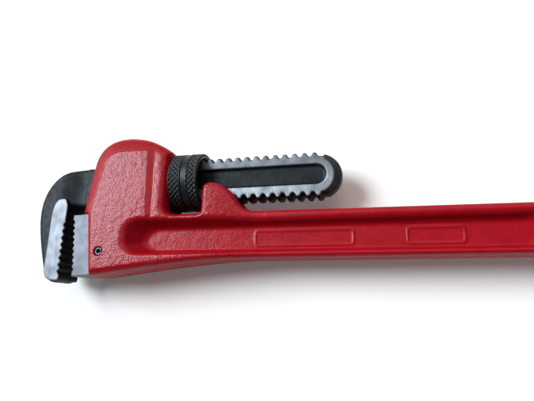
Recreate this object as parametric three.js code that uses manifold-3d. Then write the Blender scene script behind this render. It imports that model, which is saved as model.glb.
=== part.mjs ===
// Heavy-duty pipe wrench, lying on its side.
// Millimetres. +X runs along the handle to its end, +Y from the heel of the head to its crown,
// +Z across the thickness. The drawing origin is on the axis of the threaded shank, at the top
// of a thread crest; the finished group is moved so that its origin is the centre of the
// bottom of its bounding box.

import * as THREE from "three";
import { mergeVertices } from "three/addons/utils/BufferGeometryUtils.js";
import Module from "manifold-3d";

const wasm = await Module();
wasm.setup();

// ---------------------------------------------------------------- driving dimensions

const FIT = 0.3; // gap between touching pieces

// thread and shank
const PITCH = 5;
const CREST_R = 12.25;
const ROOT_R = 10.4;
const CREST_WIDTH = 1.5;
const BASE_WIDTH = 3.6;
const SHANK_HALF = 5.5; // half thickness
const THREAD_START = -40;
const LAST_TOP_CREST = 50;
const SHANK_TOP = 10.6; // plain part of the shank
const SHANK_BOTTOM = -12;
const BALL_X = 52.2; // turned end of the shank
const BALL_R = 11.5;
const PANEL_HALF = 5.4; // sunk panel along the shank
const PANEL_DEPTH = 1.4;

// hook jaw
const HOOK_HALF = 8;
const HOOK_LEFT = -104.5;
const HOOK_TOP = 10.6;
const HOOK_BOTTOM = -52;
const HOOK_FACE_X = -85; // tips of the hook's teeth
const HOOK_EDGE = 3;
const HOOK_TOOTH_PITCH = 3.6;
const HOOK_TOOTH_DEPTH = 1.3;
const HOOK_TEETH = 8;

// adjusting nut
const NUT_R = 15.5;
const NUT_LEFT = -23.4;
const NUT_RIGHT = -7.8;
const NUT_BAND_X = -16.6; // groove beside the plain band
const NUT_BAND_WIDTH = 3;
const NUT_CHAMFER = 0.8;

// head of the casting
const HEAD_HALF = 12;
const HEAD_EDGE = 2;
const HEAD_TOP = 25.4;
const REAR_WALL_X = -24.6; // back of the housing, front wall of the nut slot
const EAR_X = -6; // back wall of the nut slot
const SLOT_FLOOR = -19.6;
const SLOT_FILLET = 3;
const NOSE = { x: -72.3, y: -16.3 }; // where the front of the housing overhangs the heel jaw
const CHANNEL_HALF = 6.1; // way through the housing for the shank
const CHANNEL_TOP = 12.9;
const CHANNEL_LIP = -12.35; // lower front edge, on which the hook jaw rocks
const LIP_X = -68;
const CHANNEL_FLOOR = -15.9;
const EAR_GAP_FLOOR = -17.4;

// handle
const HANDLE_HALF = 9;
const HANDLE_EDGE = 2;
const HANDLE_TOP = -18.2;
const HANDLE_BOTTOM = -40.9;
const HANDLE_TAPER = 0.7; // each edge closes in by this much towards the end
const HANDLE_END_X = 188;
const HANDLE_START_X = 8;
const HANG_HOLE_R = 5.2;
const HANG_HOLE_X = 176.5;
const WEB_HALF = 4; // half thickness of the web between the flanges

// heel jaw, its pin, and the springs under the shank
const HEEL_HALF = 8;
const HEEL_TOP = { x: -80.6, y: -17.4 }; // tooth line, top
const HEEL_FOOT = { x: -77.2, y: -49.9 }; // tooth line, bottom
const HEEL_DEPTH = 11.3;
const HEEL_TOOTH_PITCH = 3.15;
const HEEL_TOOTH_DEPTH = 1.2;
const HEEL_TEETH = 9;
const TONGUE_HALF = 4.5;
const TONGUE_TOP = -27;
const TONGUE_FOOT = -45.5;
const TONGUE_BACK_X = -55.5;
const PIN = { x: -60.3, y: -37.4, r: 1.9, bore: 1.15 };
const LEAF_TOP = -12.6;
const LEAF_THICKNESS = 0.8;
const LEAF_HALF = 4.5;
const LEAF_FRONT_X = -65.5;
const LEAF_BACK_X = -27;
const COIL = { x: -54, r: 3.05, wire: 0.45, turns: 5, top: -14.1, bottom: -22.3 };
const POCKET_R = 4.1;
const POCKET_FLOOR = -23.1;
const RIVET_R = 1.2;
const RIVET_HEAD_R = 2.1;
const RIVET_HEAD_DEPTH = 1.5;

// ---------------------------------------------------------------- solids

function solid(geometry) {
  const bare = geometry.clone();
  bare.deleteAttribute("normal");
  bare.deleteAttribute("uv");
  const merged = mergeVertices(bare, 1e-4);
  const corners = merged.index.array;
  const kept = [];
  for (let i = 0; i < corners.length; i += 3) {
    const [a, b, c] = [corners[i], corners[i + 1], corners[i + 2]];
    if (a !== b && b !== c && c !== a) kept.push(a, b, c);
  }
  return new wasm.Manifold(new wasm.Mesh({
    numProp: 3,
    vertProperties: Float32Array.from(merged.attributes.position.array),
    triVerts: Uint32Array.from(kept),
  }));
}

function piece(name, body, colour, roughness, metalness) {
  const mesh = body.getMesh();
  const positions = [];
  for (let i = 0; i < mesh.vertProperties.length; i += mesh.numProp) {
    positions.push(...mesh.vertProperties.subarray(i, i + 3));
  }
  const geometry = new THREE.BufferGeometry();
  geometry.setAttribute("position", new THREE.Float32BufferAttribute(positions, 3));
  geometry.setIndex(new THREE.BufferAttribute(Uint32Array.from(mesh.triVerts), 1));
  geometry.computeVertexNormals();
  const material = new THREE.MeshStandardMaterial({ color: colour, roughness, metalness });
  const made = new THREE.Mesh(geometry, material);
  made.name = name;
  return made;
}

// an outline in X and Y, extruded from one height to another, its edges cut back by `edge`
function plate(shape, low, high, edge = 0, curveSegments = 6) {
  const geometry = new THREE.ExtrudeGeometry(shape, {
    depth: high - low - 2 * edge,
    curveSegments,
    bevelEnabled: edge > 0,
    bevelThickness: edge,
    bevelSize: edge,
    bevelOffset: -edge,
    bevelSegments: 2,
  });
  return solid(geometry.translate(0, 0, low + edge));
}

function box(x0, x1, y0, y1, z0, z1) {
  const geometry = new THREE.BoxGeometry(x1 - x0, y1 - y0, z1 - z0);
  return solid(geometry.translate((x0 + x1) / 2, (y0 + y1) / 2, (z0 + z1) / 2));
}

function outline(points) {
  return new THREE.Shape(points.map(([x, y]) => new THREE.Vector2(x, y)));
}

// a solid of revolution about the X axis from [x, radius] pairs
function turned(profile, sides = 36) {
  const geometry = new THREE.LatheGeometry(profile.map(([x, r]) => new THREE.Vector2(r, x)), sides);
  return solid(geometry.rotateZ(-Math.PI / 2));
}

// a round bar along Z
function barZ(x, y, r, low, high, sides = 20) {
  const geometry = new THREE.CylinderGeometry(r, r, high - low, sides);
  return solid(geometry.rotateX(Math.PI / 2).translate(x, y, (low + high) / 2));
}

// a round bar along Y
function barY(x, z, r, low, high, sides = 20) {
  const geometry = new THREE.CylinderGeometry(r, r, high - low, sides);
  return solid(geometry.translate(x, (low + high) / 2, z));
}

// a closed solid through rings of equal length, capped at both ends
function loft(rings) {
  const count = rings[0].length;
  const positions = rings.flat(2);
  const triangles = [];
  for (let row = 0; row + 1 < rings.length; row++) {
    for (let i = 0; i < count; i++) {
      const a = row * count + i;
      const b = row * count + ((i + 1) % count);
      triangles.push(a, b, b + count, a, b + count, a + count);
    }
  }
  const last = (rings.length - 1) * count;
  for (let i = 1; i + 1 < count; i++) {
    triangles.push(0, i + 1, i);
    triangles.push(last, last + i, last + i + 1);
  }
  const geometry = new THREE.BufferGeometry();
  geometry.setAttribute("position", new THREE.Float32BufferAttribute(positions, 3));
  geometry.setIndex(triangles);
  return solid(geometry);
}

// one tooth of a right-hand thread, swept about the X axis between two angles from +Y
function helicalRidge(crestX, from, to, steps, innerR, outerR, baseWidth, crestWidth) {
  const rings = [];
  for (let i = 0; i <= steps; i++) {
    const degrees = from + ((to - from) * i) / steps;
    const angle = THREE.MathUtils.degToRad(degrees);
    const x = crestX + (PITCH * degrees) / 360;
    const section = [
      [x - baseWidth / 2, innerR],
      [x + baseWidth / 2, innerR],
      [x + crestWidth / 2, outerR],
      [x - crestWidth / 2, outerR],
    ];
    rings.push(section.map(([sx, r]) => [sx, r * Math.cos(angle), r * Math.sin(angle)]));
  }
  return loft(rings);
}

// points of a row of teeth from one end to the other; teeth stand towards `side`
function toothedEdge(start, step, count, depth, side) {
  const points = [];
  for (let i = 0; i < count; i++) {
    const x = start.x + step.x * i;
    const y = start.y + step.y * i;
    points.push([x, y]);
    points.push([x - side * depth, y + step.y * 0.35]);
    points.push([x + step.x * 0.8, y + step.y * 0.8]);
  }
  return points;
}

// ---------------------------------------------------------------- hook jaw with threaded shank

function hookOutline() {
  const hook = new THREE.Shape();
  hook.moveTo(-77.5, HOOK_TOP);
  hook.lineTo(-84, HOOK_TOP);
  hook.bezierCurveTo(-97, HOOK_TOP, HOOK_LEFT, -2, HOOK_LEFT, -14);
  hook.bezierCurveTo(HOOK_LEFT, -24, -100.5, -36, -98.2, -46.5);
  hook.quadraticCurveTo(-97.2, HOOK_BOTTOM, -92.5, HOOK_BOTTOM);
  hook.lineTo(-88.5, -51);
  hook.lineTo(-87.5, -16);
  hook.quadraticCurveTo(-87.2, SHANK_BOTTOM, -83.5, SHANK_BOTTOM);
  hook.lineTo(-77.5, SHANK_BOTTOM);
  hook.closePath();
  return hook;
}

function hookFace() {
  const topTooth = { x: HOOK_FACE_X, y: -20.5 };
  const step = { x: 0.02, y: -HOOK_TOOTH_PITCH };
  const teeth = toothedEdge(topTooth, step, HOOK_TEETH, HOOK_TOOTH_DEPTH, 1);
  return outline([
    [-94.2, -12], [-93, -9], [-90.5, -7.6], [-87.5, -8.2], [-85.6, -12], [-85.4, -19.6],
    ...teeth,
    [HOOK_FACE_X, -50.2], [-87.8, -51.4], [-92.6, -51.2], [-93.8, -47],
  ]);
}

function threadedShank() {
  const dome = [];
  for (let i = 0; i <= 9; i++) {
    const angle = THREE.MathUtils.degToRad(100 - (100 * i) / 9);
    dome.push([BALL_X + BALL_R * Math.cos(angle), Math.max(0, BALL_R * Math.sin(angle))]);
  }
  const start = THREAD_START - 3;
  let shank = turned([[start, 0], [start, ROOT_R], [dome[0][0], ROOT_R], ...dome]);
  const ridge = (x, from, to) =>
    helicalRidge(x, from, to, 6, ROOT_R - 0.6, CREST_R, BASE_WIDTH + 0.6, CREST_WIDTH);
  for (let x = THREAD_START; x <= LAST_TOP_CREST; x += PITCH) {
    shank = shank.add(ridge(x, -33, 33)).add(ridge(x, 147, 213));
  }
  return shank.intersect(box(-60, 80, -20, 20, -SHANK_HALF, SHANK_HALF));
}

function panelTool(side) {
  const end = BALL_X - 1.2;
  const ring = (half, z) => {
    const points = [[THREAD_START + 8, -half, z]];
    for (let i = 0; i <= 10; i++) {
      const angle = THREE.MathUtils.degToRad(-90 + 18 * i);
      points.push([end + half * Math.cos(angle), half * Math.sin(angle), z]);
    }
    points.push([THREAD_START + 8, half, z]);
    return points;
  };
  const floor = ring(PANEL_HALF - 1, side * (SHANK_HALF - PANEL_DEPTH));
  const mouth = ring(PANEL_HALF + 0.5, side * (SHANK_HALF + 0.6));
  return side > 0 ? loft([floor, mouth]) : loft([mouth, floor]);
}

function hookJaw() {
  const bar = outline([
    [-88, SHANK_BOTTOM], [THREAD_START - 2, SHANK_BOTTOM],
    [THREAD_START - 2, SHANK_TOP], [-88, SHANK_TOP],
  ]);
  return plate(hookOutline(), -HOOK_HALF, HOOK_HALF, HOOK_EDGE)
    .add(plate(hookFace(), -HOOK_HALF, HOOK_HALF))
    .add(plate(bar, -SHANK_HALF, SHANK_HALF, 0.8))
    .add(threadedShank())
    .subtract(panelTool(1))
    .subtract(panelTool(-1));
}

// ---------------------------------------------------------------- adjusting nut

function adjustingNut() {
  const boreR = ROOT_R + FIT;
  const chamferR = CREST_R + 1;
  const bandEnd = NUT_BAND_X + NUT_BAND_WIDTH;
  const rim = NUT_R - NUT_CHAMFER;
  const profile = [
    [NUT_LEFT + 1.4, boreR], [NUT_LEFT, chamferR],
    [NUT_LEFT, rim], [NUT_LEFT + NUT_CHAMFER, NUT_R],
    [NUT_BAND_X - 0.5, NUT_R], [NUT_BAND_X - 0.1, NUT_R - 0.7], [NUT_BAND_X + 0.3, NUT_R - 0.3],
    [bandEnd, NUT_R - 0.3], [bandEnd + 0.3, NUT_R],
    [NUT_RIGHT - NUT_CHAMFER, NUT_R], [NUT_RIGHT, rim],
    [NUT_RIGHT, chamferR], [NUT_RIGHT - 1.4, boreR], [NUT_LEFT + 1.4, boreR],
  ];
  const blank = turned(profile, 48);
  const turns = 5;
  const firstCrest = (Math.floor(NUT_LEFT / PITCH) - 1) * PITCH;
  const groove = helicalRidge(
    firstCrest, 0, 360 * turns, 20 * turns,
    boreR - 0.5, CREST_R + FIT, BASE_WIDTH + 2.4 * FIT, CREST_WIDTH + 2.4 * FIT,
  );
  return blank.subtract(groove);
}

// ---------------------------------------------------------------- one-piece handle and housing

function headOutline() {
  const head = new THREE.Shape();
  head.moveTo(-64.9, -49.6);
  head.lineTo(-69.1, -18);
  head.lineTo(NOSE.x, NOSE.y);
  head.lineTo(-69.5, 8);
  head.bezierCurveTo(-68, 19, -61, HEAD_TOP, -50.5, HEAD_TOP);
  head.bezierCurveTo(-41, HEAD_TOP, -31, 20.8, REAR_WALL_X, 16);
  head.lineTo(REAR_WALL_X, SLOT_FLOOR + SLOT_FILLET);
  head.quadraticCurveTo(REAR_WALL_X, SLOT_FLOOR, REAR_WALL_X + SLOT_FILLET, SLOT_FLOOR);
  head.lineTo(EAR_X - SLOT_FILLET, SLOT_FLOOR);
  head.quadraticCurveTo(EAR_X, SLOT_FLOOR, EAR_X, SLOT_FLOOR + SLOT_FILLET);
  head.lineTo(EAR_X, -5.6);
  head.quadraticCurveTo(EAR_X, -2.9, EAR_X + 3.5, -2.9);
  head.bezierCurveTo(3.5, -2.9, 9, -8, 11.5, -11.5);
  head.bezierCurveTo(13.8, -14.8, 16.5, HANDLE_TOP, 22, HANDLE_TOP);
  head.lineTo(28, HANDLE_TOP);
  head.lineTo(28, HANDLE_BOTTOM);
  head.bezierCurveTo(5, HANDLE_BOTTOM, -15, -43, -30, -44.9);
  head.lineTo(-62, -49.1);
  head.closePath();
  return head;
}

function headBlock() {
  // the head narrows to the thickness of the handle behind the nut slot
  const plan = outline([
    [-90, -HEAD_HALF], [EAR_X, -HEAD_HALF], [30, -HANDLE_HALF],
    [30, HANDLE_HALF], [EAR_X, HEAD_HALF], [-90, HEAD_HALF],
  ]);
  const limits = new THREE.ExtrudeGeometry(plan, { depth: 100, bevelEnabled: false });
  limits.rotateX(Math.PI / 2).translate(0, 50, 0);
  return plate(headOutline(), -HEAD_HALF, HEAD_HALF, HEAD_EDGE).intersect(solid(limits));
}

function handleOutline() {
  const top = HANDLE_TOP - HANDLE_TAPER;
  const bottom = HANDLE_BOTTOM + HANDLE_TAPER;
  const r = (top - bottom) / 2;
  const handle = new THREE.Shape();
  handle.moveTo(HANDLE_START_X, HANDLE_BOTTOM);
  handle.lineTo(HANDLE_END_X - r, bottom);
  handle.absarc(HANDLE_END_X - r, bottom + r, r, -Math.PI / 2, Math.PI / 2, false);
  handle.lineTo(HANDLE_START_X, HANDLE_TOP);
  handle.closePath();
  return handle;
}

// the hollow between the flanges, with sloping walls and a long ramp at the head end
function webTool(side) {
  const ring = (x0, x1, y0, y1, r, z) => {
    const points = [];
    const corners = [[x0 + r, y0 + r, 180], [x1 - r, y0 + r, 270], [x1 - r, y1 - r, 0], [x0 + r, y1 - r, 90]];
    for (const [cx, cy, start] of corners) {
      for (let i = 0; i <= 4; i++) {
        const angle = THREE.MathUtils.degToRad(start + 22.5 * i);
        points.push([cx + r * Math.cos(angle), cy + r * Math.sin(angle), z]);
      }
    }
    return points;
  };
  const floor = ring(-37.3, 146, -37, -25.5, 3.5, side * WEB_HALF);
  const mouth = ring(-47.8, 150, -39, -20.9, 7, side * (HEAD_HALF + 0.4));
  return side > 0 ? loft([floor, mouth]) : loft([mouth, floor]);
}

function channelTool() {
  const way = outline([
    [-90, CHANNEL_LIP], [LIP_X, CHANNEL_LIP], [LIP_X + 1, LEAF_TOP - 1.3],
    [REAR_WALL_X + 1, CHANNEL_FLOOR], [REAR_WALL_X + 1, CHANNEL_TOP], [-90, CHANNEL_TOP],
  ]);
  return plate(way, -CHANNEL_HALF, CHANNEL_HALF);
}

function handle() {
  const tongueSlot = box(
    -90, TONGUE_BACK_X + FIT, TONGUE_FOOT - FIT, TONGUE_TOP + FIT,
    -TONGUE_HALF - FIT, TONGUE_HALF + FIT,
  );
  return headBlock()
    .add(plate(handleOutline(), -HANDLE_HALF, HANDLE_HALF, HANDLE_EDGE, 10))
    .subtract(webTool(1))
    .subtract(webTool(-1))
    .subtract(channelTool())
    .subtract(box(EAR_X - 1, 40, EAR_GAP_FLOOR, 5, -CHANNEL_HALF, CHANNEL_HALF))
    .subtract(tongueSlot)
    .subtract(barZ(PIN.x, PIN.y, PIN.r + FIT, -20, 20))
    .subtract(barY(COIL.x, 0, POCKET_R, POCKET_FLOOR, CHANNEL_LIP - 0.5))
    .subtract(barZ(HANG_HOLE_X, (HANDLE_TOP + HANDLE_BOTTOM) / 2, HANG_HOLE_R, -20, 20, 28));
}

// ---------------------------------------------------------------- heel jaw and its pin

function heelJaw() {
  const slope = (HEEL_FOOT.x - HEEL_TOP.x) / (HEEL_FOOT.y - HEEL_TOP.y);
  const firstTooth = { x: HEEL_TOP.x + slope * -2.6, y: HEEL_TOP.y - 2.6 };
  const step = { x: -slope * HEEL_TOOTH_PITCH, y: -HEEL_TOOTH_PITCH };
  const teeth = toothedEdge(firstTooth, step, HEEL_TEETH, HEEL_TOOTH_DEPTH, -1);
  const jaw = outline([
    [HEEL_TOP.x + HEEL_DEPTH, HEEL_TOP.y - 0.8], [HEEL_TOP.x + 0.3, HEEL_TOP.y],
    ...teeth,
    [HEEL_FOOT.x, HEEL_FOOT.y], [HEEL_FOOT.x + HEEL_DEPTH + 0.4, HEEL_FOOT.y + 0.8],
  ]);
  const tongue = box(-72, TONGUE_BACK_X, TONGUE_FOOT, TONGUE_TOP, -TONGUE_HALF, TONGUE_HALF);
  return plate(jaw, -HEEL_HALF, HEEL_HALF)
    .add(tongue)
    .subtract(barZ(PIN.x, PIN.y, PIN.r + FIT, -20, 20));
}

// a rolled spring pin, split along its length
function heelJawPin() {
  const half = HEAD_HALF - 0.4;
  return barZ(PIN.x, PIN.y, PIN.r, -half, half)
    .subtract(barZ(PIN.x, PIN.y, PIN.bore, -half - 1, half + 1, 16))
    .subtract(box(PIN.x, PIN.x + 3, PIN.y - 0.25, PIN.y + 0.25, -half - 1, half + 1));
}

// ---------------------------------------------------------------- springs under the shank

function flatSpring() {
  const bottom = LEAF_TOP - LEAF_THICKNESS;
  const leaf = outline([
    [LEAF_FRONT_X, bottom], [LEAF_BACK_X, bottom], [LEAF_BACK_X, LEAF_TOP], [LEAF_FRONT_X, LEAF_TOP],
  ]);
  return plate(leaf, -LEAF_HALF, LEAF_HALF)
    .subtract(barY(COIL.x, 0, RIVET_R + FIT, bottom - 1, LEAF_TOP + 1));
}

function springRivet() {
  const top = LEAF_TOP - LEAF_THICKNESS - FIT;
  return barY(COIL.x, 0, RIVET_R, top - 0.5, LEAF_TOP)
    .add(barY(COIL.x, 0, RIVET_HEAD_R, top - RIVET_HEAD_DEPTH, top));
}

class SpringPath extends THREE.Curve {
  getPoint(t) {
    const angle = t * COIL.turns * 2 * Math.PI;
    const y = COIL.bottom + (COIL.top - COIL.bottom) * t;
    return new THREE.Vector3(COIL.x + COIL.r * Math.cos(angle), y, COIL.r * Math.sin(angle));
  }
}

function coilSpring() {
  const wire = new THREE.Shape();
  wire.absarc(0, 0, COIL.wire, 0, 2 * Math.PI, false);
  return solid(new THREE.ExtrudeGeometry(wire, {
    steps: 18 * COIL.turns,
    curveSegments: 4,
    extrudePath: new SpringPath(),
    bevelEnabled: false,
  }));
}

// ---------------------------------------------------------------- assembly

const RED = 0xb3121f;
const BLACK = 0x24272a;
const STEEL = 0xa9adb2;

const pieces = new THREE.Group();
pieces.add(
  piece("handle", handle(), RED, 0.35, 0),
  piece("heel_jaw", heelJaw(), STEEL, 0.4, 1),
  piece("heel_jaw_pin", heelJawPin(), STEEL, 0.35, 1),
  piece("hook_jaw", hookJaw(), BLACK, 0.5, 0.6),
  piece("adjusting_nut", adjustingNut(), BLACK, 0.55, 0.6),
  piece("flat_spring", flatSpring(), STEEL, 0.35, 1),
  piece("coil_spring", coilSpring(), STEEL, 0.35, 1),
  piece("spring_rivet", springRivet(), STEEL, 0.4, 1),
);

const bounds = new THREE.Box3().setFromObject(pieces);
const centre = bounds.getCenter(new THREE.Vector3());
pieces.position.set(-centre.x, -centre.y, -bounds.min.z);

const wrench = new THREE.Group();
wrench.add(pieces);

export default wrench;
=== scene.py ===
"""Looks of a heavy pipe wrench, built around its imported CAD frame."""

import math

import bpy
import numpy as np
from mathutils import Matrix, Vector, noise


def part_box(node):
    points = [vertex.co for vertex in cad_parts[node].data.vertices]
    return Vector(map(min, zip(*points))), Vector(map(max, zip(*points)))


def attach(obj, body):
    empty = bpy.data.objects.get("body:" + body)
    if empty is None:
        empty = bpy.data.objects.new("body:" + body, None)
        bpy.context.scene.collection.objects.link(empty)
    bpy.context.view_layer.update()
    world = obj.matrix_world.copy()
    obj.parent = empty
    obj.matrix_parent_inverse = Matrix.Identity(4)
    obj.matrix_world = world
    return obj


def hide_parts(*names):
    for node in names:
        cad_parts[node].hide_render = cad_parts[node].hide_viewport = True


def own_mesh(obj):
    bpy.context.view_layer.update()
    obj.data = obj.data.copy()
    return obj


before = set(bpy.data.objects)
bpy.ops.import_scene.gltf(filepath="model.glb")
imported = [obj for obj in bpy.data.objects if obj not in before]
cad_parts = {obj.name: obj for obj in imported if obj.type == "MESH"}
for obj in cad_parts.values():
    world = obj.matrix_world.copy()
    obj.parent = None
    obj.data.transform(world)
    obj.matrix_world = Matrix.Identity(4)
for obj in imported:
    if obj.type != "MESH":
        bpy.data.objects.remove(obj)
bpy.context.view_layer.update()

# ---------------------------------------------------------------- sizes, in millimetres
# They are measured from the drawing origin: on the axis of the shank, at the top of a thread
# crest, with +X along the handle, +Y to the crown of the head and +Z across the thickness.

MM = 0.001

NUT_LEFT, NUT_RIGHT, NUT_R = -23.4, -7.8, 15.5
nut_low, nut_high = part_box("adjusting_nut")
ORIGIN = Vector((
    nut_low.x - NUT_LEFT * MM,
    (nut_low.y + nut_high.y) / 2,
    (nut_low.z + nut_high.z) / 2,
))

PITCH, CREST_R, ROOT_R = 5.0, 12.25, 10.4
CREST_HALF, BASE_HALF = 0.75, 1.8
SHANK_HALF = 5.5
BALL_X, BALL_R, THREAD_END = 52.2, 11.5, 53.9

HANDLE_HALF = 9.0
HANDLE_TOP, HANDLE_BOTTOM, HANDLE_END = -18.2, -40.9, 188.0
HANDLE_MIDDLE = (HANDLE_TOP + HANDLE_BOTTOM) / 2
REAR_WALL, EAR_X, SLOT_FLOOR = -24.6, -6.0, -18.8
PIN_X, PIN_Y, PIN_R = -60.3, -37.4, 1.9
TONGUE_END, TONGUE_LOW, TONGUE_HIGH, TONGUE_HALF = -55.5, -45.5, -27.0, 4.5
TONGUE_GAP = 0.3  # between the heel jaw's tongue and its slot in the casting


# ---------------------------------------------------------------- distance fields

def bezier(start, first, second, end, steps=14):
    """Points of a cubic curve after its start."""
    start, first, second, end = (np.array(p, float) for p in (start, first, second, end))
    points = []
    for i in range(1, steps + 1):
        t = i / steps
        u = 1 - t
        points.append(tuple(u**3 * start + 3 * u * u * t * first + 3 * u * t * t * second + t**3 * end))
    return points


def outline_field(points, x, y):
    """Signed distance to a closed outline, negative inside, and what its third value is there.

    points are (x, y, value); value is carried from the nearest point of the outline.
    """
    nearest = np.full(x.shape, 1e9)
    value = np.zeros(x.shape)
    inside = np.zeros(x.shape, bool)
    for (ax, ay, av), (bx, by, bv) in zip(points, points[1:] + points[:1]):
        dx, dy = bx - ax, by - ay
        along = np.clip(((x - ax) * dx + (y - ay) * dy) / (dx * dx + dy * dy + 1e-12), 0, 1)
        gap = np.hypot(x - ax - along * dx, y - ay - along * dy)
        closer = gap < nearest
        nearest = np.where(closer, gap, nearest)
        value = np.where(closer, av + along * (bv - av), value)
        crosses = (ay > y) != (by > y)
        reach = ax + (y - ay) * dx / (dy if dy else 1e-12)
        inside ^= crosses & (x < reach)
    return np.where(inside, -nearest, nearest), value


def blurred(field, rounds):
    """A plane field smoothed by its neighbours."""
    for _ in range(rounds):
        padded = np.pad(field, 1, mode="edge")
        field = (padded[:-2, 1:-1] + padded[2:, 1:-1] + padded[1:-1, :-2] + padded[1:-1, 2:]
                 + 4 * field) / 8
    return field


def both(a, b, r=0.0):
    """What is inside both, its edge rounded to radius r."""
    if np.isscalar(r) and r == 0:
        return np.maximum(a, b)
    outside = np.hypot(np.maximum(a + r, 0), np.maximum(b + r, 0))
    return np.minimum(np.maximum(a, b), -r) + outside


def either(a, b, r=0.0):
    """What is inside one or the other, the corner between them filled to radius r."""
    return -both(-a, -b, r)


def without(a, b, r=0.0):
    """a with b cut away, the edge of the cut rounded to radius r."""
    return both(a, -b, r)


def smooth_step(low, high, value):
    """0 at low and 1 at high, with an even S between. low may be the greater."""
    t = np.clip((value - low) / (high - low), 0, 1)
    return t * t * (3 - 2 * t)


class Grid:
    """Sample points in a box. x and y are plane arrays with room for z, which is a row."""

    def __init__(self, low, high, cell):
        self.low, self.cell = np.array(low, float), cell
        axes = [np.arange(a, b + cell, cell) for a, b in zip(low, high)]
        self.flat_x, self.flat_y = np.meshgrid(axes[0], axes[1], indexing="ij")
        self.x, self.y = self.flat_x[:, :, None], self.flat_y[:, :, None]
        self.z = axes[2][None, None, :]

    def outline(self, points):
        distance, value = outline_field(points, self.flat_x, self.flat_y)
        return distance[:, :, None], value


def surface(field, grid):
    """Points and quads of the zero level of a field, by surface nets."""
    inside = field < 0
    shape = [n - 1 for n in field.shape]
    corners = [(i, j, k) for i in (0, 1) for j in (0, 1) for k in (0, 1)]
    count = np.zeros(shape, np.uint8)
    for i, j, k in corners:
        count += inside[i:i + shape[0], j:j + shape[1], k:k + shape[2]]
    cells = np.argwhere((count > 0) & (count < 8))
    number = np.full(shape, -1, np.int64)
    number[tuple(cells.T)] = np.arange(len(cells))

    total = np.zeros((len(cells), 3))
    crossings = np.zeros(len(cells))
    for corner in corners:
        for axis in range(3):
            if corner[axis]:
                continue
            start = cells + np.array(corner)
            end = start.copy()
            end[:, axis] += 1
            a, b = field[tuple(start.T)], field[tuple(end.T)]
            crossed = (a < 0) != (b < 0)
            share = np.where(crossed, a / np.where(crossed, a - b, 1), 0)
            point = start.astype(float)
            point[:, axis] += share
            total += point * crossed[:, None]
            crossings += crossed
    points = total / crossings[:, None] * grid.cell + grid.low

    quads = []
    for axis in range(3):
        one, two = [a for a in range(3) if a != axis]
        lower, upper = [slice(None)] * 3, [slice(None)] * 3
        lower[axis], upper[axis] = slice(0, -1), slice(1, None)
        crossed = inside[tuple(lower)] != inside[tuple(upper)]
        edges = np.argwhere(crossed)
        edges = edges[(edges[:, one] > 0) & (edges[:, two] > 0)]
        edges = edges[(edges[:, one] < shape[one]) & (edges[:, two] < shape[two])]
        ring = []
        for back_one, back_two in ((1, 1), (0, 1), (0, 0), (1, 0)):
            cell = edges.copy()
            cell[:, one] -= back_one
            cell[:, two] -= back_two
            ring.append(number[tuple(cell.T)])
        ring = np.stack(ring, 1)
        starts_inside = inside[tuple(edges.T)]
        flip = starts_inside if axis == 1 else ~starts_inside
        ring[flip] = ring[flip][:, ::-1]
        quads.append(ring)
    return points, np.concatenate(quads)


# ---------------------------------------------------------------- meshes

def to_frame(points):
    """Drawing points in millimetres as frame points in metres."""
    return np.asarray(points, float) * MM + np.array(ORIGIN)


def make_piece(name, points, faces, attributes=None):
    """A smooth mesh object from points in the drawing and faces of equal length."""
    faces = np.asarray(faces, np.int32)
    mesh = bpy.data.meshes.new(name)
    mesh.vertices.add(len(points))
    mesh.vertices.foreach_set("co", to_frame(points).astype(np.float32).ravel())
    mesh.loops.add(faces.size)
    mesh.loops.foreach_set("vertex_index", faces.ravel())
    mesh.polygons.add(len(faces))
    mesh.polygons.foreach_set("loop_start", np.arange(0, faces.size, faces.shape[1], dtype=np.int32))
    mesh.update(calc_edges=True)
    mesh.validate()
    for key, values in (attributes or {}).items():
        mesh.attributes.new(key, "FLOAT", "POINT").data.foreach_set("value", values.astype(np.float32))
    mesh.shade_smooth()
    piece = bpy.data.objects.new(name, mesh)
    bpy.context.scene.collection.objects.link(piece)
    return piece


def normals_of(points, quads):
    """Vertex normals of a quad mesh."""
    a, b, c, d = (points[quads[:, i]] for i in range(4))
    face = np.cross(c - a, d - b)
    total = np.zeros_like(points)
    for i in range(4):
        np.add.at(total, quads[:, i], face)
    return total / np.maximum(np.linalg.norm(total, axis=1, keepdims=True), 1e-12)


def roughened(points, quads, amount, size, strength):
    """Points moved along their normals by smooth lumps of a size in millimetres."""
    normals = normals_of(points, quads)
    lumps = np.array([noise.noise(Vector(p / size)) for p in points])
    finer = np.array([noise.noise(Vector(p / (0.45 * size)) + Vector((7, 3, 1))) for p in points])
    return points + normals * ((lumps + 0.5 * finer) * amount * strength)[:, None]


# ---------------------------------------------------------------- the red casting

PAD_HALF, PAD_SLOPE = 12.05, 0.27  # the raised pad, and how the cheek falls away from it
PAD_STEP, CROWN_DROP = 0.85, 2.2  # the most it falls, beside the slot and elsewhere
RIM_X, RIM_TOP = -32.4, 8.5  # left side and top of the strip beside the slot
DRAFT, DRAFT_HALF = 0.07, 9.0  # slope of the mould, and the half thickness that keeps the outline
WEB_HALF, WEB_PAD_HALF = 3.6, 4.1
PLATE_ENDS = ((21, 68), (92, 116))
PLATE_LOW, PLATE_HIGH, PLATE_LINE, PLATE_RISE = -35.1, -27.6, 0.45, 0.45
CHANNEL_HALF, CHANNEL_TOP, CHANNEL_LIP, LIP_X = 6.1, 12.9, -12.35, -68
EAR_GAP_FLOOR = -17.4
HANG_HOLE_X, HANG_HOLE_R = 176.5, 5.2
COIL_X, POCKET_R, POCKET_FLOOR = -54.0, 4.3, -23.7


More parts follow.
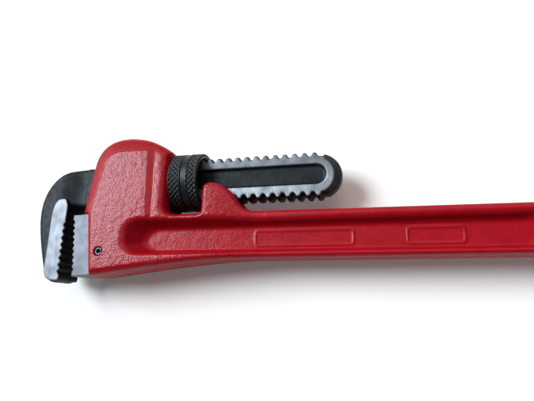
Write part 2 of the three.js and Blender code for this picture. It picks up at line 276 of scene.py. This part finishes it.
def casting_outline():
    """Side view of handle, heel and housing. The third value is the radius of the edge there."""
    heel, front, shoulder, crown, rear = 2.6, 2.0, 2.2, 3.2, 5.4
    slot, flange, floor = 2.2, 2.3, 3.4
    end_r = (HANDLE_TOP - HANDLE_BOTTOM) / 2 - 0.7
    end_x = HANDLE_END - end_r
    points = [(-65.7, -49.7, heel), (-69.8, -17.6, 1.2), (-73, -16.6, front), (-70.3, 8, front)]
    points += bezier((-70.3, 8, front), (-69.8, 19.3, shoulder), (-62.7, 25.5, shoulder),
                     (-50.5, 25.25, crown))
    points += bezier((-50.5, 25.25, crown), (-41, 25.1, crown), (-31.3, 20.3, 4.5),
                     (REAR_WALL, 15.2, rear))
    points += bezier((REAR_WALL, -14.6, rear), (REAR_WALL, -17.4, 4), (-23.2, SLOT_FLOOR, floor),
                     (-19.6, SLOT_FLOOR, floor))
    points += bezier((-9, SLOT_FLOOR, floor), (-7, SLOT_FLOOR, floor), (EAR_X, -18.2, slot),
                     (EAR_X, -16.6, slot))
    points += bezier((EAR_X, -6, slot), (EAR_X, -4, slot), (-4.4, -2.9, slot), (-2.2, -2.9, slot))
    points += bezier((-2.2, -2.9, slot), (3.5, -2.9, slot), (8.6, -7.5, slot), (11.3, -11.3, slot))
    points += bezier((11.3, -11.3, slot), (13.8, -14.8, slot), (15.8, HANDLE_TOP, flange),
                     (21.5, HANDLE_TOP, flange))
    for degrees in range(90, -91, -12):
        angle = math.radians(degrees)
        points.append((end_x + end_r * math.cos(angle), HANDLE_MIDDLE + end_r * math.sin(angle), flange))
    points += bezier((30, HANDLE_BOTTOM, flange), (5, HANDLE_BOTTOM, heel), (-15, -43.2, heel),
                     (-30, -45.1, heel))
    points.append((-62, -49.3, heel))
    return points


def cheek_pad_outline():
    """The raised, sand-textured part of the head's side. Its third value isn't used."""
    points = [(-64, -47), (-67.2, -17.5), (-67, -13.9), (-65.5, -8.8), (-63.8, 1.5), (-61.2, 10.4)]
    points += [p[:2] for p in bezier((-61.2, 10.4), (-60.2, 14.4), (-57, 16.4), (-52, 16.4), 5)]
    points += [(-38.3, 16.1), (-37.4, 15.7), (-37.1, 14.9), (-35.4, -20.7), (-34.6, -24), (10, -24)]
    points += [(10, -39), (-20, -42)]
    return [(x, y, 0) for x, y in points]


def rounded_box(x, y, x0, x1, y0, y1, r):
    """Signed distance to a rectangle with round corners, in the plane."""
    across = np.abs(x - (x0 + x1) / 2) - (x1 - x0) / 2 + r
    up = np.abs(y - (y0 + y1) / 2) - (y1 - y0) / 2 + r
    return np.hypot(np.maximum(across, 0), np.maximum(up, 0)) + np.minimum(np.maximum(across, up), 0) - r


def web_hollow(x, y, z):
    """The hollow between the flanges: sloping walls, and a long ramp at the head end."""
    height = np.abs(z) - 4
    top = (y + 25.5 - 0.55 * height) * 0.88
    bottom = (-37.0 - 0.24 * height - y) * 0.97
    ramp = (-37.6 - 1.2 * height - x) * 0.64
    end = (x - 146 - 0.5 * height) * 0.9
    walls = both(both(both(top, bottom), ramp, 5.5), end, 5.5)
    return both(walls, WEB_HALF - np.abs(z), 2.0)


def web_panel(x, y):
    """Outline of the raised panel on the web."""
    return rounded_box(x, y, -36.2, 145, -36.2, -26.4, 2.0)


def blank_plates(x, y):
    """Outlines of two plain raised frames on the panel."""
    frames = [np.abs(rounded_box(x, y, left, right, PLATE_LOW, PLATE_HIGH, 1.6)) - PLATE_LINE
              for left, right in PLATE_ENDS]
    return np.minimum(*frames)


def beside_slot(x, y):
    """1 right of the rim's left side and below its top, and 0 elsewhere."""
    return smooth_step(RIM_X - 0.8, RIM_X + 0.8, x) * smooth_step(RIM_TOP + 1.6, RIM_TOP - 1.6, y)


def side_of_head(grid):
    """Half the thickness: a flat pad that falls away to crown and slot, and thins to the handle."""
    x, y = grid.x, grid.y
    pad, _ = grid.outline(cheek_pad_outline())
    slope = PAD_SLOPE * 0.5 * (pad + np.sqrt(pad * pad + 0.3))
    drop = np.minimum(slope, PAD_STEP + (CROWN_DROP - PAD_STEP) * smooth_step(-36, -46, x))
    drop = np.maximum(drop, PAD_STEP * smooth_step(-36, -8, x))
    head = PAD_HALF - drop * (1 - 0.4 * beside_slot(x, y))
    return head - (head - HANDLE_HALF) * smooth_step(-6, 26, x)


def casting_field(grid):
    """The casting: its outline given thickness, then hollowed for all that fits in it."""
    x, y, z = grid.x, grid.y, grid.z
    side = np.abs(z)
    flat, edge = grid.outline(casting_outline())
    edge = blurred(edge, 10)[:, :, None]
    slot_zone = smooth_step(-29, -26, x) * smooth_step(-3, -6, x) * smooth_step(-23, -21, y)
    flat = flat - DRAFT * (1 - slot_zone) * (DRAFT_HALF - side)
    body = both(flat, side - side_of_head(grid), edge)

    body = without(body, web_hollow(x, y, z), 1.5)
    body = either(body, both(web_panel(x, y), side - WEB_PAD_HALF, 0.3), 0.4)
    body = either(body, both(blank_plates(x, y), side - WEB_PAD_HALF - PLATE_RISE, 0.25), 0.2)

    floor = np.where(x < LIP_X, CHANNEL_LIP, -13.9 - 0.047 * (x - LIP_X))
    channel = both(both(side - CHANNEL_HALF, np.maximum(y - CHANNEL_TOP, floor - y)), x - REAR_WALL - 2)
    body = without(body, channel, 0.7)
    gap = both(side - CHANNEL_HALF, both(EAR_GAP_FLOOR - y, -7.5 - x))
    body = without(body, gap, 0.7)
    tongue_slot = rounded_box(x, y, -90, TONGUE_END + TONGUE_GAP, TONGUE_LOW - TONGUE_GAP,
                              TONGUE_HIGH + TONGUE_GAP, 0.5)
    body = without(body, both(side - (TONGUE_HALF + TONGUE_GAP), tongue_slot))
    pocket = both(np.hypot(x - COIL_X, z) - POCKET_R, both(y + 13, POCKET_FLOOR - y))
    body = without(body, pocket)
    body = without(body, np.hypot(x - PIN_X, y - PIN_Y) - PIN_R - 0.25, 0.3)
    return without(body, np.hypot(x - HANG_HOLE_X, y - HANDLE_MIDDLE) - HANG_HOLE_R, 1.2)


def make_casting():
    """The casting's mesh. The box's odd hundredths keep flat faces off the planes of samples."""
    grid = Grid((-75, -51.23, -13.31), (189.6, 27, 13.31), 0.65)
    points, quads = surface(casting_field(grid), grid)
    normals = normals_of(points, quads)
    pad, _ = outline_field(cheek_pad_outline(), points[:, 0], points[:, 1])
    panel = web_panel(points[:, 0], points[:, 1])
    facing = smooth_step(0.75, 0.95, np.abs(normals[:, 2]))
    rough = np.maximum(smooth_step(0.6, -0.4, pad), beside_slot(points[:, 0], points[:, 1]))
    rough = np.maximum(rough, smooth_step(0.5, -0.3, panel))
    smoother = 1 - 0.9 * smooth_step(-20, 90, points[:, 0])
    outer = smooth_step(WEB_PAD_HALF + 1, HANDLE_HALF - 1, np.abs(points[:, 2]))
    grain = facing * np.maximum(rough * smoother * (0.55 + 0.45 * outer), 0.12)
    gloss = facing * (0.3 + 0.7 * outer)
    points = roughened(points, quads, 0.09, 2.6, 0.25 + 0.75 * grain)
    return make_piece("casting", points, quads, {"grain": grain, "gloss": gloss})


# ---------------------------------------------------------------- hook jaw and threaded shank

HOOK_HALF, HOOK_FACE_HALF = 7.75, 8.0  # the ground face stands a little proud of the forged sides
HOOK_FACE_X = -85.0
HOOK_TOOTH_PITCH, HOOK_TOOTH_DEPTH, HOOK_TEETH = 3.6, 1.35, 8
PANEL_HALF, PANEL_DEPTH = 5.4, 1.5
RING_X, RING_Y, RING_R = 50.6, -0.5, 9.2  # where the flats end in the turned tip


def hook_outline():
    """Side view of the forged hook. The third value is the radius of the edge there."""
    soft, mouth = 4.5, 1.2
    points = [(-74.5, 10.6, 3), (-79.5, 10.6, 3)]
    points += bezier((-83, 10.4, soft), (-96.8, 10.1, soft), (-104.4, -2, soft), (-104.3, -14, soft))
    points += bezier((-104.3, -14, soft), (-104.2, -24, soft), (-101.3, -33, soft), (-96.5, -46.3, 3.5))
    points += bezier((-96.5, -46.3, 3.5), (-95.1, -49.5, 2.4), (-92.0, -52.9, 2.2), (-88.5, -52.9, 2.2), 6)
    points += [(-85.9, -52.4, mouth), (-86.6, -51, mouth), (-86.6, -18, mouth)]
    points += bezier((-86.6, -16, 2), (-86.4, -13.2, 3), (-85.4, -12, 3), (-82.5, -12, 3), 5)
    points.append((-74.5, -12, 1.5))
    return points


def tooth_row(start, step, count, depth, side):
    """Points of a row of saw teeth along a face that looks towards side."""
    points = []
    for i in range(count):
        x, y = start[0] + step[0] * i, start[1] + step[1] * i
        points += [(x, y, 0), (x - side * depth, y + 0.42 * step[1], 0)]
        points.append((x - side * 0.15 * depth + step[0], y + 0.86 * step[1], 0))
    return points


def hook_face_outline():
    """The ground strip with the hook's teeth."""
    teeth = tooth_row((HOOK_FACE_X, -20.6), (0.03, -HOOK_TOOTH_PITCH), HOOK_TEETH, HOOK_TOOTH_DEPTH, 1)
    points = [(-94.4, -16)] + bezier((-94.4, -16), (-94.1, -10.2), (-92.3, -7.5), (-89.3, -7.4), 8)
    points += [(-87.6, -7.3), (-86.6, -8), (-85.2, -11.4), (-85, -12.6), (-85.4, -19.6)]
    tail = [(HOOK_FACE_X + 0.2, -50.8), (-85.4, -52.0), (-90.6, -51.8), (-93.2, -50.3), (-94.7, -47.2)]
    return [(x, y, 0) for x, y in points] + teeth + [(x, y, 0) for x, y in tail]


def thread_field(x, y, z):
    """The shank's round thread and core, and its turned end, without its flats."""
    out = np.hypot(y, z)
    turn = np.arctan2(z, y) / (2 * math.pi)
    phase = (x / PITCH - turn + 0.5) % 1 - 0.5
    along = np.abs(phase) * PITCH
    slope = (CREST_R - ROOT_R) / (BASE_HALF - CREST_HALF)
    flank = (out - CREST_R + (along - CREST_HALF) * slope) / math.hypot(1, slope)
    tooth = both(out - CREST_R, flank, 0.35)
    span = both(-42 - x, x + 0.075 * y - THREAD_END)
    thread = both(either(tooth, out - ROOT_R, 0.45), span, 0.3)
    run_out = THREAD_END + 2 - 0.085 * y
    core = both(out - ROOT_R, both(-46 - x, x - run_out - 0.4))
    ball = both(np.sqrt((x - BALL_X) ** 2 + y * y + z * z) - BALL_R, run_out - x, 0.4)
    return either(np.minimum(thread, core), ball, 0.3)


def forging_field(grid):
    """Hook, plain bar and threaded shank as one body, with the ground strip on the hook."""
    x, y, z = grid.x, grid.y, grid.z
    side = np.abs(z)
    flat, edge = grid.outline(hook_outline())
    edge = blurred(edge, 8)[:, :, None]
    half = HOOK_HALF - (HOOK_HALF - SHANK_HALF + 0.5) * smooth_step(-93, -78, x)
    hook = both(flat, side - half, edge)
    bar = both(rounded_box(x, y, -78, -41, -12, 10.6, 0.5), side - SHANK_HALF + 0.1, 2.8)
    shank = both(thread_field(x, y, z), side - SHANK_HALF, 0.25)
    ring = np.where(x > THREAD_END + 1.4, np.hypot(x - RING_X, y - RING_Y) - RING_R, -2)
    shank = both(shank, (side - SHANK_HALF + 0.8 * ring) * 0.78, 0.12)

    slot = rounded_box(x, y, -60, BALL_X + 4.1, -PANEL_HALF, PANEL_HALF, PANEL_HALF)
    panel = both(slot, SHANK_HALF - PANEL_DEPTH - side, 0.9)
    panel = both(panel, (slot - 0.7 * (side - SHANK_HALF)) * 0.82)
    shank = without(shank, panel, 0.15)

    body = either(either(hook, bar, 0.5), shank, 0.3)
    face, _ = grid.outline(hook_face_outline())
    return either(body, both(face, side - HOOK_FACE_HALF, 0.2), 0.15)


def make_forging():
    """The forging's mesh, with how far each point is ground bright, made less toward the top of the flats
    as painted shade.
    """
    grid = Grid((-105.6, -54.2, -8.6), (64.6, 13, 8.6), 0.42)
    points, quads = surface(forging_field(grid), grid)
    x, y, side = points[:, 0], points[:, 1], np.abs(points[:, 2])
    face, _ = outline_field(hook_face_outline(), x, y)
    strip = smooth_step(0.25, -0.05, face) * smooth_step(7.6, 7.85, side)
    flats = smooth_step(SHANK_HALF - 0.22, SHANK_HALF - 0.08, side) * smooth_step(-44, -42, x)
    # Painted shade: the flats are made less bright toward their top, so their upper band looks darker.
    flats = flats * (1 - 0.4 * smooth_step(-6, 7, y))
    turned = 0.15 * smooth_step(THREAD_END, THREAD_END + 2, x)
    ground_and_shade = np.maximum(np.maximum(0.72 * strip, turned), np.where(x > -60, flats, 0))
    points = roughened(points, quads, 0.05, 3.5, 1 - ground_and_shade)
    return make_piece("forging", points, quads, {"ground_and_shade": ground_and_shade})


# ---------------------------------------------------------------- adjusting nut

KNURL_AROUND, KNURL_PITCH, KNURL_DEPTH = 38, 2.6, 0.7
KNURL_SAMPLES = 11  # mesh columns and rows in one diamond
KNURL_BANDS = ((-22.7, -17.1), (-13.3, -8.5))
GROOVE_X, BAND_R = -16.6, 15.25
NUT_MOUTH_R, NUT_FACE_R = 13.3, 14.0  # where each flat end begins and ends
NUT_PLAY = 0.3  # between the threads of nut and shank
FACE, OUTSIDE, BORE = range(3)


def knurl_height(x, turn):
    """Height of the pyramids between two crossing sets of spiral cuts, from 0 to 1."""
    one = np.abs(2 * ((KNURL_AROUND * turn + x / KNURL_PITCH) % 1) - 1)
    two = np.abs(2 * ((KNURL_AROUND * turn - x / KNURL_PITCH) % 1) - 1)
    return np.minimum(1 - one, 1 - two)


def nut_rim(x):
    """Radius of the nut's outside where it carries no knurl."""
    radius = np.full(x.shape, NUT_R)
    radius = np.where((x > GROOVE_X) & (x < -13.5), BAND_R, radius)
    groove = 0.75 * np.clip(1 - np.abs(x - GROOVE_X) / 0.45, 0, 1)
    edge = np.minimum(x - NUT_LEFT, NUT_RIGHT - x)
    return radius - groove - np.clip(0.85 - edge, 0, 1) ** 2 * 0.9


def make_nut():
    """The nut's mesh, as rings of points around its section: out, across, in and back."""
    columns = KNURL_AROUND * KNURL_SAMPLES
    turn = np.arange(columns) / columns
    outside = np.arange(NUT_LEFT, NUT_RIGHT + 0.01, KNURL_PITCH / KNURL_SAMPLES)
    outside = np.append(outside, NUT_RIGHT)
    inside = np.arange(NUT_RIGHT - 1.5, NUT_LEFT + 1.4, -0.3)

    rows = [(NUT_LEFT, NUT_MOUTH_R, FACE), (NUT_LEFT, NUT_FACE_R, FACE)]
    rows += [(x, None, OUTSIDE) for x in outside]
    rows += [(NUT_RIGHT, NUT_FACE_R, FACE), (NUT_RIGHT, NUT_MOUTH_R, FACE)]
    rows += [(x, None, BORE) for x in inside]

    points, worn = [], []
    for x, radius, kind in rows:
        height = np.zeros(columns)
        if kind == OUTSIDE:
            fade = max(smooth_step(-0.1, 0.3, min(x - a, b - x)) for a, b in KNURL_BANDS)
            height = knurl_height(x, turn) * fade
            radius = nut_rim(np.array(x)) - KNURL_DEPTH * fade * (1 - np.minimum(height * 1.15, 1))
        if kind == BORE:
            phase = (x / PITCH - turn + 0.5) % 1 - 0.5
            cut = np.clip((BASE_HALF + 0.35 - np.abs(phase) * PITCH) / (BASE_HALF - CREST_HALF), 0, 1)
            radius = ROOT_R + NUT_PLAY + cut * (CREST_R - ROOT_R)
        radius = np.broadcast_to(radius, turn.shape)
        angle = 2 * math.pi * turn
        points.append(np.stack((np.full(columns, x), radius * np.cos(angle), radius * np.sin(angle)), 1))
        worn.append(height)
    points, worn = np.concatenate(points), np.concatenate(worn)

    row, column = np.meshgrid(np.arange(len(rows)), np.arange(columns), indexing="ij")
    next_row, next_column = (row + 1) % len(rows), (column + 1) % columns
    quads = np.stack((row * columns + column, row * columns + next_column,
                      next_row * columns + next_column, next_row * columns + column), -1)
    return make_piece("nut", points, quads.reshape(-1, 4), {"worn": worn})


# ---------------------------------------------------------------- heel jaw, pin and coil

HEEL_HALF, HEEL_DEPTH = 8.0, 11.3
HEEL_TOP, HEEL_FOOT = (-80.6, -17.1), (-77.2, -49.9)
HEEL_TOOTH_PITCH, HEEL_TOOTH_DEPTH, HEEL_TEETH = 3.15, 1.25, 9
PIN_BORE_R, PIN_HALF, PIN_SPLIT_HALF = 1.15, 11.6, 0.25


def heel_outline():
    """The hardened jaw in the heel, seen from the side, with its teeth."""
    slope = (HEEL_FOOT[0] - HEEL_TOP[0]) / (HEEL_FOOT[1] - HEEL_TOP[1])
    first = (HEEL_TOP[0] - 2.6 * slope, HEEL_TOP[1] - 2.6)
    step = (-slope * HEEL_TOOTH_PITCH, -HEEL_TOOTH_PITCH)
    teeth = tooth_row(first, step, HEEL_TEETH, HEEL_TOOTH_DEPTH, -1)
    top = [(HEEL_TOP[0] + HEEL_DEPTH, HEEL_TOP[1] + 0.6, 0), (HEEL_TOP[0] + 0.3, HEEL_TOP[1], 0)]
    foot = [(*HEEL_FOOT, 0), (HEEL_FOOT[0] + HEEL_DEPTH + 0.4, HEEL_FOOT[1] + 0.8, 0)]
    return top + teeth + foot


def make_heel_jaw():
    """The toothed jaw with its tongue, and the hole for its pin."""
    grid = Grid((-81.8, -50.9, -8.8), (-54.5, -16.4, 8.8), 0.27)
    x, y, side = grid.x, grid.y, np.abs(grid.z)
    flat, _ = grid.outline(heel_outline())
    tongue = rounded_box(x, y, -72, TONGUE_END, TONGUE_LOW, TONGUE_HIGH, 0.4)
    body = either(both(flat, side - HEEL_HALF, 0.25), both(tongue, side - TONGUE_HALF, 0.3))
    body = without(body, np.hypot(x - PIN_X, y - PIN_Y) - PIN_R - 0.2)
    return make_piece("hardened_jaw", *surface(body, grid))


def make_pin():
    """A rolled spring pin, split along its length."""
    room = PIN_R + 0.5
    grid = Grid((PIN_X - room, PIN_Y - room, -12), (PIN_X + room, PIN_Y + room, 12), 0.13)
    x, y = grid.x - PIN_X, grid.y - PIN_Y
    half_wall = (PIN_R - PIN_BORE_R) / 2
    wall = np.abs(np.hypot(x, y) - PIN_R + half_wall) - half_wall
    shell = both(wall, np.abs(grid.z) - PIN_HALF, 0.2)
    split = both(np.abs(y) - PIN_SPLIT_HALF, -x)
    return make_piece("spring_pin", *surface(without(shell, split), grid))


COIL_R, COIL_WIRE, COIL_TURNS = 3.05, 0.45, 5  # radius to the wire's middle, and of the wire
COIL_FOOT, COIL_TOP = -22.3, -14.1
COIL_CLOSER = 0.35  # share by which the pitch is less at the ends


def make_coil():
    """The coil under the flat spring, its end turns closer together."""
    steps, sides = 48 * COIL_TURNS, 12
    t = np.linspace(0, 1, steps + 1)
    rise = t - COIL_CLOSER * np.sin(2 * math.pi * t) / (2 * math.pi)
    angle = 2 * math.pi * COIL_TURNS * t
    centre = np.stack((COIL_X + COIL_R * np.cos(angle), COIL_FOOT + (COIL_TOP - COIL_FOOT) * rise,
                       COIL_R * np.sin(angle)), 1)
    outward = np.stack((np.cos(angle), np.zeros_like(t), np.sin(angle)), 1)
    along = np.gradient(centre, axis=0)
    along /= np.linalg.norm(along, axis=1, keepdims=True)
    upward = np.cross(along, outward)
    around = np.linspace(0, 2 * math.pi, sides, endpoint=False)
    taper = np.sqrt(np.clip(np.minimum(t, 1 - t) * steps / 2, 0, 1))
    section = outward[:, None] * np.cos(around)[None, :, None]
    section = section + upward[:, None] * np.sin(around)[None, :, None]
    wire = (COIL_WIRE * np.maximum(taper, 0.05))[:, None, None]
    points = (centre[:, None] + section * wire).reshape(-1, 3)
    row, column = np.meshgrid(np.arange(steps), np.arange(sides), indexing="ij")
    after = (column + 1) % sides
    quads = np.stack((row * sides + column, (row + 1) * sides + column,
                      (row + 1) * sides + after, row * sides + after), -1)
    return make_piece("coil", points, quads.reshape(-1, 4))


# ---------------------------------------------------------------- materials

class Looks:
    """A node material. Sizes of patterns are in millimetres of the piece itself."""

    def __init__(self, name, **constants):
        self.material = bpy.data.materials.new(name)
        self.material.use_nodes = True
        self.tree = self.material.node_tree
        self.shader = self.tree.nodes["Principled BSDF"]
        self.place = self.tree.nodes.new("ShaderNodeTexCoord").outputs["Object"]
        for key, value in constants.items():
            self.shader.inputs[key.replace("_", " ")].default_value = value

    def node(self, kind, inputs, output=0, **settings):
        made = self.tree.nodes.new("ShaderNode" + kind)
        for key, value in settings.items():
            setattr(made, key, value)
        for key, value in inputs.items():
            if isinstance(value, bpy.types.NodeSocket):
                self.tree.links.new(value, made.inputs[key])
            else:
                made.inputs[key].default_value = value
        return made.outputs[output]

    def set(self, key, value):
        self.tree.links.new(value, self.shader.inputs[key])

    def attribute(self, name):
        return self.node("Attribute", {}, "Fac", attribute_name=name)

    def noise(self, size, detail=2.0, turn=(0, 0, 0)):
        """Clouds of a size, which is one number or one along each axis."""
        sizes = size if hasattr(size, "__len__") else (size,) * 3
        scale = tuple(1000 / s for s in sizes)
        place = self.node("Mapping", {"Vector": self.place, "Rotation": turn})
        place = self.node("Mapping", {"Vector": place, "Scale": scale})
        return self.node("TexNoise", {"Vector": place, "Scale": 1.0, "Detail": detail})

    def span(self, value, low, high, start, end):
        """value from low..high turned into start..end."""
        return self.node("MapRange", {"Value": value, "From Min": low, "From Max": high,
                                      "To Min": start, "To Max": end})

    def product(self, a, b):
        return self.node("Math", {0: a, 1: b}, operation="MULTIPLY")

    def total(self, a, b):
        return self.node("Math", {0: a, 1: b}, operation="ADD")

    def mix(self, share, a, b):
        """A colour between a and b."""
        return self.node("Mix", {"Factor": share, 6: a, 7: b}, 2, data_type="RGBA")

    def bump(self, height, depth):
        """A normal for a height from 0 to 1 that stands for depth in millimetres."""
        normal = self.node("Bump", {"Height": height, "Distance": depth * MM, "Strength": 1.0})
        self.set("Normal", normal)
        self.set("Coat Normal", normal)


def red_enamel():
    """Thick glossy paint over a sand casting."""
    looks = Looks("red_enamel", Coat_Roughness=0.24, Coat_IOR=1.5, Specular_IOR_Level=0.1)
    grain = looks.attribute("grain")
    looks.set("Coat Weight", looks.span(looks.attribute("gloss"), 0, 1, 0.15, 0.40))
    tint = looks.span(looks.noise(9, 3), 0.3, 0.7, 0, 1)
    red = looks.mix(tint, (0.34, 0.002, 0.009, 1), (0.39, 0.003, 0.012, 1))
    dust = looks.product(looks.span(looks.noise(0.8, 3), 0.45, 0.75, 0, 0.3), grain)
    looks.set("Base Color", looks.mix(dust, red, (0.40, 0.025, 0.045, 1)))
    rough = looks.span(looks.noise(4, 3), 0.3, 0.7, 0.40, 0.50)
    looks.set("Roughness", rough)
    sand = looks.total(looks.noise(1.4, 2), looks.product(looks.noise(0.7, 1), 0.5))
    peel = looks.product(looks.noise(5, 1), 0.8)
    height = looks.total(looks.product(sand, looks.span(grain, 0, 1, 0.1, 1.0)), peel)
    looks.bump(height, 0.17)
    return looks.material


def black_forging():
    """Dark phosphate finish, ground bright on the flats and the toothed strip, with painted shade
    darkening the upper band of the flats.
    """
    looks = Looks("black_forging", Specular_IOR_Level=0.2)
    ground_and_shade = looks.attribute("ground_and_shade")
    blotch = looks.span(looks.noise(7, 4), 0.35, 0.65, 0, 1)
    dark = looks.mix(blotch, (0.007, 0.0095, 0.011, 1), (0.015, 0.019, 0.023, 1))
    lines = looks.noise((0.35, 14, 14), 3)
    cloud = looks.span(looks.noise(5, 3), 0.3, 0.7, 0, 1)
    steel = looks.mix(cloud, (0.17, 0.185, 0.205, 1), (0.34, 0.365, 0.40, 1))
    # The bright-steel mask also carries painted shade on the upper band of the flats.
    looks.set("Base Color", looks.mix(ground_and_shade, dark, steel))
    looks.set("Metallic", looks.span(ground_and_shade, 0, 1, 0.35, 1.0))
    dark_rough = looks.span(looks.noise(2.5, 3), 0.3, 0.7, 0.44, 0.58)
    bright_rough = looks.span(lines, 0.3, 0.7, 0.46, 0.60)
    rough = looks.node("Mix", {"Factor": ground_and_shade, 2: dark_rough, 3: bright_rough})
    looks.set("Roughness", rough)
    scale = looks.total(looks.noise(0.7, 3), looks.noise(2.6, 2))
    height = looks.node("Mix", {"Factor": ground_and_shade, 2: scale, 3: lines})
    looks.bump(height, 0.045)
    return looks.material


def black_nut():
    """Black oxide on the nut, rubbed a little at the tips of the knurl."""
    looks = Looks("black_nut", Metallic=0.5)
    worn = looks.span(looks.attribute("worn"), 0.7, 1.0, 0, 0.8)
    patch = looks.span(looks.noise(5, 3), 0.4, 0.6, 0.2, 1)
    black = looks.mix(looks.noise(3, 3), (0.012, 0.014, 0.016, 1), (0.028, 0.031, 0.034, 1))
    looks.set("Base Color", looks.mix(looks.product(worn, patch), black, (0.10, 0.105, 0.11, 1)))
    looks.set("Roughness", looks.span(looks.noise(1.8, 3), 0.3, 0.7, 0.34, 0.5))
    looks.bump(looks.noise(0.6, 3), 0.03)
    return looks.material


def ground_steel(name, size, turn, light, dark):
    """Bare steel with the fine lines of a grinding belt."""
    looks = Looks(name, Metallic=1.0)
    lines = looks.noise(size, 4, turn)
    cloud = looks.span(looks.noise(6, 4), 0.35, 0.65, 0, 1)
    looks.set("Base Color", looks.mix(cloud, dark, light))
    rough = looks.total(looks.span(lines, 0.3, 0.7, 0.44, 0.58), looks.product(cloud, 0.06))
    looks.set("Roughness", rough)
    looks.bump(lines, 0.02)
    return looks.material


def pale_floor():
    """A matt, nearly white floor that glows a little."""
    looks = Looks("floor_white", Roughness=0.9, Emission_Strength=0.10)
    looks.shader.inputs["Emission Color"].default_value = (1, 1, 1, 1)
    looks.set("Base Color", looks.mix(looks.noise(60, 2), (0.94, 0.90, 0.87, 1), (0.96, 0.92, 0.89, 1)))
    return looks.material


# ---------------------------------------------------------------- assembly

def dress(piece, material):
    piece.data.materials.clear()
    piece.data.materials.append(material)
    return piece


def place(piece, material, body, slot, node):
    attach(dress(piece, material), body)
    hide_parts(node)


bright = ground_steel("ground_steel", size=(0.3, 0.3, 9), turn=(0, 0, 0.6),
                      light=(0.17, 0.181, 0.20, 1), dark=(0.09, 0.097, 0.108, 1))
spring = ground_steel("spring_steel", size=(1.2, 1.2, 1.2), turn=(0, 0, 0),
                      light=(0.20, 0.21, 0.235, 1), dark=(0.12, 0.125, 0.14, 1))

place(make_casting(), red_enamel(), "handle", "red_enamel", "handle")
place(make_forging(), black_forging(), "hook_jaw", "black_forging", "hook_jaw")
place(make_nut(), black_nut(), "adjusting_nut", "black_nut", "adjusting_nut")
place(make_heel_jaw(), bright, "handle", "ground_steel", "heel_jaw")
place(make_pin(), spring, "handle", "spring_steel", "heel_jaw_pin")
coil = make_coil()
place(coil, spring, "spring_carrier", "spring_steel", "coil_spring")
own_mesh(coil)
for name in ("flat_spring", "spring_rivet"):
    dress(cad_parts[name], spring)

# ---------------------------------------------------------------- floor, light and camera

FLOOR_SIZE = 6.0  # metres

mesh = bpy.data.meshes.new("floor")
half = FLOOR_SIZE / 2
corners = [(-half, -half, 0), (half, -half, 0), (half, half, 0), (-half, half, 0)]
mesh.from_pydata(corners, [], [(0, 1, 2, 3)])
floor = dress(bpy.data.objects.new("floor", mesh), pale_floor())
bpy.context.scene.collection.objects.link(floor)


def soft_light(name, direction, width, strength, colour=(1, 1, 1)):
    """A wide, distant softbox. direction points to it and width is its angle in degrees."""
    light = bpy.data.lights.new(name, "SUN")
    light.angle, light.energy, light.color = math.radians(width), strength, colour
    box = bpy.data.objects.new(name, light)
    box.rotation_euler = Vector(direction).to_track_quat("Z", "Y").to_euler()
    bpy.context.scene.collection.objects.link(box)


soft_light("key_light", (-0.65, 0.30, 0.70), 31, 4.1, (0.84, 0.92, 1.0))
soft_light("fill_light", (0.0, 0.62, 0.78), 57, 0.8, (1.0, 0.97, 0.90))


def studio_world():
    """A white backdrop, which lights the object no more than pale walls under a dim ceiling would."""
    world = bpy.data.worlds.new("studio")
    world.use_nodes = True
    tree = world.node_tree
    sky = tree.nodes["Background"]
    sky.inputs["Color"].default_value = (0.97, 0.985, 1.0, 1)
    coordinates = tree.nodes.new("ShaderNodeTexCoord")
    split = tree.nodes.new("ShaderNodeSeparateXYZ")
    walls = tree.nodes.new("ShaderNodeMapRange")
    walls.interpolation_type = "SMOOTHSTEP"
    for key, value in {"From Min": 0.05, "From Max": 0.45, "To Min": 0.22, "To Max": 0.04}.items():
        walls.inputs[key].default_value = value
    ray = tree.nodes.new("ShaderNodeLightPath")
    seen = tree.nodes.new("ShaderNodeMath")
    seen.operation = "MAXIMUM"
    tree.links.new(coordinates.outputs["Generated"], split.inputs["Vector"])
    tree.links.new(split.outputs["Z"], walls.inputs["Value"])
    tree.links.new(walls.outputs["Result"], seen.inputs[0])
    tree.links.new(ray.outputs["Is Camera Ray"], seen.inputs[1])
    tree.links.new(seen.outputs["Value"], sky.inputs["Strength"])
    return world


bpy.context.scene.world = studio_world()
bpy.context.scene.view_settings.view_transform = "Standard"

EYE = ORIGIN + Vector((0.07424, -0.06629, 0.20310))
TARGET = ORIGIN + Vector((0.02539, -0.01117, 0))
CAMERA_ROLL = 1.094  # degrees
LENS, SENSOR_WIDTH = 28.65, 36  # millimetres

back = (EYE - TARGET).normalized()
right = Vector((0, 1, 0)).cross(back).normalized()
axes = Matrix((right, back.cross(right), back)).transposed().to_4x4()
camera = bpy.data.objects.new("camera", bpy.data.cameras.new("camera"))
camera.data.lens = LENS
camera.data.sensor_width = SENSOR_WIDTH
camera.data.clip_start = 0.01
roll = Matrix.Rotation(math.radians(CAMERA_ROLL), 4, "Z")
camera.matrix_world = Matrix.Translation(EYE) @ axes @ roll
bpy.context.scene.collection.objects.link(camera)
bpy.context.scene.camera = camera
